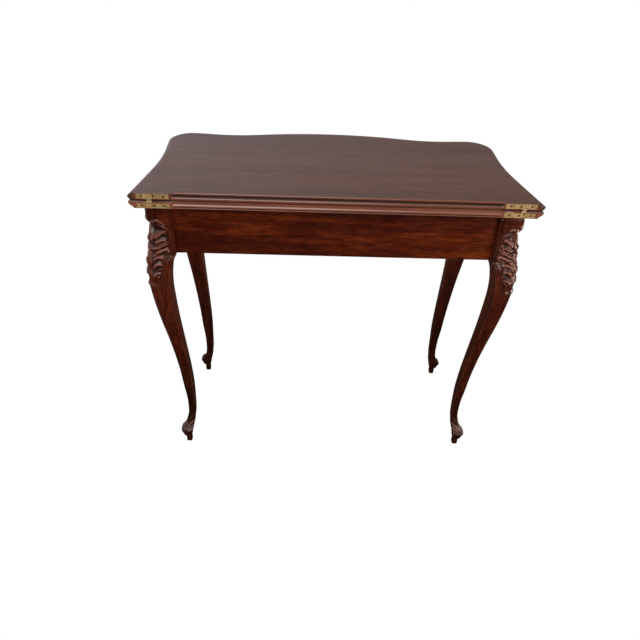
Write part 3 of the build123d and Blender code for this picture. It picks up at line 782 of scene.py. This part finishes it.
def arc_through(start, middle, end, count):
    """Points on an arc through three places, and their directions away from its centre."""
    (ax, ay), (bx, by), (cx, cy) = start, middle, end
    a2, b2, c2 = (x ** 2 + y ** 2 for x, y in (start, middle, end))
    twice = 2 * (ax * (by - cy) + bx * (cy - ay) + cx * (ay - by))
    ux = (a2 * (by - cy) + b2 * (cy - ay) + c2 * (ay - by)) / twice
    uy = (a2 * (cx - bx) + b2 * (ax - cx) + c2 * (bx - ax)) / twice
    radius = math.hypot(ax - ux, ay - uy)
    first, last = math.atan2(ay - uy, ax - ux), math.atan2(cy - uy, cx - ux)
    if abs(last - first) > math.pi:
        first, last = first % (2 * math.pi), last % (2 * math.pi)
    angles = np.linspace(first, last, count)
    outward = np.column_stack((np.cos(angles), np.sin(angles)))
    return np.array((ux, uy)) + radius * outward, outward


def make_rails(material):
    """The four aprons."""
    end = BACK_FOOT[0] - POST_INSET
    across = -end + np.linspace(0, 1, RAIL_POINTS) * 2 * end
    path = np.column_stack((across, np.full(RAIL_POINTS, EDGE_Y + BACK_RAIL_IN)))
    rail("apron_back", path, np.tile((0, 1), (RAIL_POINTS, 1)), material)
    path = PATH + FRONT_RAIL_IN * INWARD
    end = FRONT_FOOT[0] - POST_INSET + FRONT_RAIL_LAP
    keep = (np.abs(path[:, 0]) <= end) & (path[:, 1] > 0)
    rail("apron_front", path[keep], INWARD[keep], material)
    back = (BACK_FOOT[0] + POST_OUTSET - SIDE_RAIL_IN, BACK_FOOT[1] + POST_INSET)
    front = (FRONT_FOOT[0] + POST_OUTSET - SIDE_RAIL_IN, FRONT_FOOT[1] - POST_INSET)
    middle = ((back[0] + front[0]) / 2 - SIDE_RAIL_BOW, (back[1] + front[1]) / 2)
    path, outward = arc_through(back, middle, front, RAIL_POINTS)
    inwards = -np.sign(outward[0, 0]) * outward
    rail("apron_right", path, inwards, material)
    rail("apron_left", path * MIRROR, inwards * MIRROR, material)


def feed(tree, socket, value):
    """Put a value, or another node's output, on a socket."""
    if isinstance(value, bpy.types.NodeSocket):
        tree.links.new(value, socket)
    else:
        socket.default_value = value


def node(tree, kind, settings=None, **inputs):
    """A shader node; its inputs go by name, or by number as i0, i1 and so on."""
    made = tree.nodes.new("ShaderNode" + kind)
    for key, value in (settings or {}).items():
        setattr(made, key, value)
    for key, value in inputs.items():
        numbered = key[0] == "i" and key[1:].isdigit()
        feed(tree, made.inputs[int(key[1:]) if numbered else key], value)
    return made


def grey(value):
    """A grey as a colour."""
    return (value, value, value)


def scaled(tone, share):
    """A colour made darker or lighter."""
    return tuple(share * v for v in tone)


def ramp(tree, factor, *stops):
    """A colour ramp of (place, colour) stops."""
    made = node(tree, "ValToRGB", Fac=factor)
    points = made.color_ramp.elements
    for index, (place, colour) in ((0, stops[0]), (1, stops[-1])):
        points[index].position = place
        points[index].color = (*colour, 1)
    for place, colour in stops[1:-1]:
        point = points.new(place)
        point.color = (*colour, 1)
    return made.outputs["Color"]


def band(tree, factor, start, end, low=0.0, high=1.0):
    """A grey ramp from one place to another."""
    return ramp(tree, factor, (start, grey(low)), (end, grey(high)))


def noise(tree, place, scale, detail=4.0, rough=0.55, stretch=None):
    """A noise value over the object, stretched along its grain."""
    if stretch is not None:
        place = node(tree, "Mapping", Vector=place, Scale=stretch).outputs[0]
    made = node(tree, "TexNoise", Vector=place, Scale=scale, Detail=detail, Roughness=rough)
    return made.outputs["Fac"]


def mix(tree, factor, a, b, how="MIX"):
    """A mix of two colours."""
    made = node(tree, "Mix", {"data_type": "RGBA", "blend_type": how}, i0=factor)
    for index, tone in ((6, a), (7, b)):
        feed(tree, made.inputs[index], (*tone, 1) if isinstance(tone, tuple) else tone)
    return made.outputs[2]


def maths(tree, how, a, b=0.0, clamp=False):
    """One step of arithmetic; MULTIPLY_ADD adds a half."""
    made = node(tree, "Math", {"operation": how, "use_clamp": clamp}, i0=a, i1=b, i2=0.5)
    return made.outputs[0]


def cleared(owner):
    """The emptied node tree of a material or a world."""
    owner.use_nodes = True
    owner.node_tree.nodes.clear()
    return owner.node_tree


def new_material(name):
    """A material with one principled shader, and the object's own coordinates."""
    material = bpy.data.materials.new(name)
    tree = cleared(material)
    shader = node(tree, "BsdfPrincipled")
    node(tree, "OutputMaterial", Surface=shader.outputs[0])
    return material, tree, shader, node(tree, "TexCoord").outputs["Object"]


def set_sockets(tree, shader, sockets):
    """Values and textures of a shader, by the names of its sockets."""
    for key, value in sockets.items():
        feed(tree, shader.inputs[key], value)


def bumps(tree, height, strength, distance):
    """Fine relief of a finish, over a distance in metres."""
    return node(tree, "Bump", Height=height, Strength=strength, Distance=distance).outputs[0]


def wood_figure(tree, place, grain, stretch, figure, tones):
    """The colour of wood from its broad figure, its grain and its fine dark lines."""
    dark, mid, light = tones
    broad = noise(tree, place, figure, 3, 0.6, scaled(stretch, 0.35))
    fine = noise(tree, place, 60, 4, 0.6, stretch)
    both = mix(tree, 0.5, band(tree, broad, 0.32, 0.68), band(tree, grain, 0.34, 0.66))
    colour = ramp(tree, both, (0.15, dark), (0.5, mid), (0.85, light))
    return mix(tree, 0.8, colour, band(tree, fine, 0.4, 0.52, 0.42), "MULTIPLY")


def worn_specks(tree, place, colour, light):
    """Small pale specks of wear, gathered in patches."""
    specks = band(tree, noise(tree, place, 900, 1, 0.5), 0.74, 0.8)
    patches = band(tree, noise(tree, place, 16, 3, 0.6), 0.55, 0.68, 0, 0.35)
    marks = mix(tree, 1, specks, patches, "MULTIPLY")
    return mix(tree, marks, colour, tuple(min(1, 3 * v + 0.05) for v in light))


def upright_painted_light(tree, grain, colour, edge):
    """Another tone where the wood faces sideways, as moulded edges do: painted light and shade."""
    facing = node(tree, "SeparateXYZ", Vector=node(tree, "TexCoord").outputs["Normal"]).outputs["Z"]
    upright = band(tree, maths(tree, "ABSOLUTE", facing), 0.8, 0.985, 1, 0)
    tone = mix(tree, band(tree, grain, 0.3, 0.7), scaled(edge, 0.55), edge)
    return mix(tree, upright, colour, tone)


def dim_low(tree, place, colour):
    """Wood that is darker nearer the floor."""
    height = node(tree, "SeparateXYZ", Vector=place).outputs["Z"]
    dim = ramp(tree, height, *((z, grey(share)) for z, share in LOW_SHADES))
    return mix(tree, 1, colour, dim, "MULTIPLY")


def paint_shade_and_wear(tree, colour, smear, dark, worn_and_lit_tone):
    """Colour and roughness: painted shade, dark and dull, where sheltered, and wear with a painted highlight,
    bare and paler, where shelter is below zero.
    """
    cover = node(tree, "Attribute", {"attribute_name": "shelter"}).outputs["Fac"]
    # Wear, with a painted highlight, where the shelter is below zero
    rubbed_and_lit = maths(tree, "MULTIPLY", cover, -0.55, True)
    colour = mix(tree, rubbed_and_lit, colour, worn_and_lit_tone)
    # Painted shade where sheltered
    colour = mix(tree, maths(tree, "MULTIPLY", cover, 0.85, True), colour, scaled(dark, 0.22))
    smear = mix(tree, rubbed_and_lit, smear, grey(0.12))
    smear = mix(tree, maths(tree, "MULTIPLY", cover, 0.9, True), smear, grey(0.85))
    return colour, smear


def mahogany(name, stretch, tones, rough, coat, gloss=0.4, figure=2.2, coat_rough=0.16,
             edge=None, worn_and_lit_tone=None, low_dark=False):
    """Polished mahogany. Where these are given: painted light and shade on its upright faces, and from the
    shelter painted shade, and wear with a painted highlight.
    """
    material, tree, shader, place = new_material(name)
    grain = noise(tree, place, 14, 8, 0.7, stretch)
    colour = wood_figure(tree, place, grain, stretch, figure, tones)
    colour = worn_specks(tree, place, colour, tones[2])
    if edge is not None:
        # Painted light and shade on the upright faces
        colour = upright_painted_light(tree, grain, colour, edge)
    if low_dark:
        colour = dim_low(tree, place, colour)
    smear = band(tree, noise(tree, place, 9, 5, 0.65), 0.3, 0.7, rough * 0.8, rough * 1.35)
    # Painted shade, and wear with a painted highlight, from the shelter
    if worn_and_lit_tone is not None:
        colour, smear = paint_shade_and_wear(tree, colour, smear, tones[0], worn_and_lit_tone)
    pores = band(tree, noise(tree, place, 160, 2, 0.5, stretch), 0.42, 0.5)
    set_sockets(tree, shader, {
        "Base Color": colour,
        "Roughness": smear,
        "Specular IOR Level": gloss,
        "Coat Weight": coat,
        "Coat Roughness": coat_rough,
        "Normal": bumps(tree, mix(tree, 0.5, pores, grain), 0.12, 0.0004),
    })
    return material


def aged_brass(name, tones, tarnish=0.35):
    """Dull brass with brown tarnish and scratches along the plates."""
    material, tree, shader, place = new_material(name)
    cloud = noise(tree, place, 130, 6, 0.7)
    colour = ramp(tree, cloud, *zip((0.3, 0.5, 0.72), tones))
    dirt = band(tree, noise(tree, place, 420, 3, 0.6), 0.45, 0.62, 1, 1 - tarnish)
    scratches = noise(tree, place, 300, 3, 0.5, (0.15, 1, 1))
    set_sockets(tree, shader, {
        "Base Color": mix(tree, 1, colour, dirt, "MULTIPLY"),
        "Metallic": 0.5,
        "Roughness": band(tree, cloud, 0.3, 0.7, 0.6, 0.38),
        "Normal": bumps(tree, scratches, 0.25, 0.0002),
    })
    return material


def dark_iron(name):
    """Dark iron with rust-brown clouds."""
    material, tree, shader, place = new_material(name)
    cloud = noise(tree, place, 90, 6, 0.7)
    set_sockets(tree, shader, {
        "Base Color": ramp(tree, cloud, *zip((0.35, 0.6, 0.75), IRON_TONES)),
        "Metallic": 0.7,
        "Roughness": band(tree, cloud, 0.3, 0.7, 0.45, 0.75),
        "Normal": bumps(tree, cloud, 0.3, 0.0003),
    })
    return material


def baize_cloth(name):
    """Green napped wool with a faint weave and worn paler places."""
    material, tree, shader, place = new_material(name)
    colour = ramp(tree, noise(tree, place, 5, 4, 0.6), *zip((0.3, 0.7), BAIZE_TONES))
    fibre = noise(tree, place, 900, 3, 0.7)
    set_sockets(tree, shader, {
        "Base Color": mix(tree, 0.6, colour, band(tree, fibre, 0.35, 0.65, 0.55, 1.25), "MULTIPLY"),
        "Roughness": 0.95,
        "Sheen Weight": 0.5,
        "Sheen Roughness": 0.4,
        "Normal": bumps(tree, fibre, 0.5, 0.0004),
    })
    return material


def dress_nodes(names, material, width):
    """Give CAD nodes their finish and soft arrises."""
    for name in names:
        paint(nodes[name], material)
        soft = nodes[name].modifiers.new("soften", "BEVEL")
        soft.width = width * MM
        soft.segments = 2
        soft.limit_method = "ANGLE"
        soft.angle_limit = math.radians(50)


def make_lining(name, body, face_z, up, cloth):
    """A lining, given its body and its finish in place of its CAD node."""
    piece = lining(name, face_z, up)
    settle(piece, body, cloth, "green_baize", name.replace("_cloth", ""))
    plan = lining_loop(LINING_GAP)


def make_top(upper_wood, lower_wood, cloth):
    """Both leaves and their linings."""
    shape = leaf_shape(UPPER_INNER, 1, UPPER_EDGE, UPPER_HINGED, UPPER_PAINTED_SHADE, TIP_DARKENING)
    settle(shape.build("upper_leaf_wood"), "opening_leaf", upper_wood, "mahogany_top", "upper_leaf")
    plate = [(PIVOT + a * PIVOT_PLATE_HALF, PIVOT + b * PIVOT_PLATE_HALF) for a, b in CORNERS]
    pocket = (plate, PIVOT_PLATE_DEEP)
    shape = leaf_shape(LOWER_INNER, -1, LOWER_EDGE, LOWER_HINGED, LOWER_PAINTED_SHADE, pocket=pocket)
    settle(shape.build("lower_leaf_wood"), "folded_top", lower_wood, "mahogany_top", "lower_leaf")
    upper_face, lower_face = UPPER_INNER + LINING_SUNK, LOWER_INNER - LINING_SUNK
    make_lining("baize_upper_cloth", "opening_leaf", upper_face, 1, cloth)
    make_lining("baize_lower_cloth", "folded_top", lower_face, -1, cloth)


def make_legs(material):
    """The four legs."""
    for y_sign, end, foot in ((-1, "back", BACK_FOOT), (1, "front", FRONT_FOOT)):
        for x_sign, side in ((-1, "left"), (1, "right")):
            leg("leg_" + end + "_" + side, foot, x_sign, y_sign, material)


def make_woods():
    """The woods of the upper leaf, the lower leaf, the aprons, the legs and the inner boards."""
    leaves = {"stretch": (0.5, 12, 6), "tones": TOP_TONES, "rough": 0.3, "worn_and_lit_tone": WORN_TOP}
    return (
        # The leaves are copies of one mahogany, with painted light and shade on their upright faces
        mahogany("mahogany_upper_leaf", coat=0.55, coat_rough=0.05, edge=UPPER_EDGE_SHADED_TONE, **leaves),
        mahogany("mahogany_lower_leaf", coat=0.45, edge=LOWER_EDGE_LIT_TONE, **leaves),
        mahogany("mahogany_rail", (-0.8, 1, 6), RAIL_TONES, 0.33, 0, gloss=0.12, figure=6),
        mahogany("mahogany_leg", (6, 6, 0.7), LEG_TONES, 0.27, 0.38, gloss=0.2, figure=5,
                 worn_and_lit_tone=WORN_AND_LIT_LEG, low_dark=True),
        mahogany("inner_wood", (5, 0.6, 5), BOARD_TONES, 0.6, 0),
    )


def dress_inside(board_wood):
    """Finish the CAD nodes that are kept: inner boards, hinges and pivot."""
    brass = aged_brass("aged_brass", BRASS_TONES)
    worn_brass = aged_brass("aged_brass_link", LINK_TONES)
    screws = aged_brass("aged_brass_screws", SCREW_TONES, 0.7)
    iron = dark_iron("dark_iron")
    places = [leaf + "_" + side for leaf in ("upper", "lower") for side in ("left", "right")]
    boards = ["pivot_board", "well_divider", "well_floor", "stop_block_closed", "stop_block_turned"]
    pivot = ["pivot_plate", "pivot_pin", "pivot_plate_screws", "pivot_washer", "pivot_nut"]
    dress_nodes(boards, board_wood, 0.6)
    dress_nodes(["stop_peg"], board_wood, 0.3)
    dress_nodes(["hinge_plate_" + place for place in places], brass, 0.15)
    dress_nodes(["hinge_link_left", "hinge_link_right"], worn_brass, 0.15)
    dress_nodes(["hinge_screws_upper", "hinge_screws_lower"], screws, 0.1)
    dress_nodes(["hinge_pin_" + place for place in places] + pivot, iron, 0.2)


def make_stage():
    """A pale floor that is white where the camera looks at it and dim in reflections."""
    floor = add_mesh("floor", [(x * FLOOR_HALF, y * FLOOR_HALF, 0) for x, y in CORNERS], [range(4)])
    material = bpy.data.materials.new("pale_floor")
    tree = cleared(material)
    path = node(tree, "LightPath")
    pale = node(tree, "BsdfDiffuse", Color=(*FLOOR_TONE, 1))
    across = node(tree, "SeparateXYZ", Vector=node(tree, "TexCoord").outputs["Object"]).outputs["Y"]
    near = maths(tree, "MULTIPLY_ADD", across, 0.25, True)
    dim = node(tree, "BsdfDiffuse", Color=ramp(tree, near, *FLOOR_DIM))
    white = node(tree, "Emission")
    seen = node(tree, "MixShader", i0=path.outputs["Is Glossy Ray"], i1=pale.outputs[0], i2=dim.outputs[0])
    shown = node(tree, "MixShader", i0=path.outputs["Is Camera Ray"], i1=seen.outputs[0], i2=white.outputs[0])
    node(tree, "OutputMaterial", Surface=shown.outputs[0])
    paint(floor, material)


def area_light(name, place, aim, size, power, colour):
    """A rectangular lamp that shines from a place towards another."""
    light = bpy.data.lights.new(name, "AREA")
    light.shape = "RECTANGLE"
    light.size, light.size_y = size
    light.energy = power
    light.color = colour
    lamp = add_object(name, light)
    x, y, z = (a - p for a, p in zip(aim, place))
    lamp.location = place
    lamp.rotation_euler = (math.atan2(math.hypot(x, y), -z), 0, math.atan2(-x, y))


def make_sky():
    """A soft pale sky, brightest low down behind the table, and white where the camera sees it."""
    world = bpy.data.worlds.new("sky")
    bpy.context.scene.world = world
    tree = cleared(world)
    way = node(tree, "SeparateXYZ", Vector=node(tree, "TexCoord").outputs["Generated"])
    rise = ramp(tree, way.outputs["Z"], *SKY_RISE)
    above = band(tree, way.outputs["Z"], 0.48, 0.8)
    across = maths(tree, "MULTIPLY_ADD", way.outputs["X"], 0.5)
    behind = ramp(tree, maths(tree, "MULTIPLY_ADD", way.outputs["Y"], 0.5), *SKY_BEHIND)
    side = ramp(tree, across, *SKY_ACROSS)
    low = mix(tree, 1, mix(tree, 1, rise, behind, "MULTIPLY"), side, "MULTIPLY")
    sky = mix(tree, above, low, ramp(tree, across, *SKY_OVERHEAD))
    seen = mix(tree, node(tree, "LightPath").outputs["Is Camera Ray"], sky, grey(1))
    node(tree, "OutputWorld", Surface=node(tree, "Background", Color=seen).outputs[0])


def make_camera():
    """The camera where the photograph was taken from."""
    yaw, pitch, roll = CAMERA_TURN
    turn = Matrix.Rotation(-yaw, 4, "Z") @ Matrix.Rotation(math.pi / 2 - pitch, 4, "X")
    data = bpy.data.cameras.new("camera")
    data.sensor_width = SENSOR
    data.lens = FOCAL_PX * SENSOR / FRAME_PX
    data.clip_end = 200
    camera = add_object("camera", data)
    camera.matrix_world = Matrix.Translation(CAMERA_PLACE) @ turn @ Matrix.Rotation(roll, 4, "Z")
    bpy.context.scene.camera = camera


def main():
    """Build and light the table."""
    upper_wood, lower_wood, rail_wood, leg_wood, board_wood = make_woods()
    make_top(upper_wood, lower_wood, baize_cloth("green_baize"))
    make_legs(leg_wood)
    make_rails(rail_wood)
    dress_inside(board_wood)
    make_stage()
    make_sky()
    for lamp in LAMPS:
        area_light(*lamp)
    make_camera()
    bpy.context.scene.view_settings.view_transform = "Standard"


main()
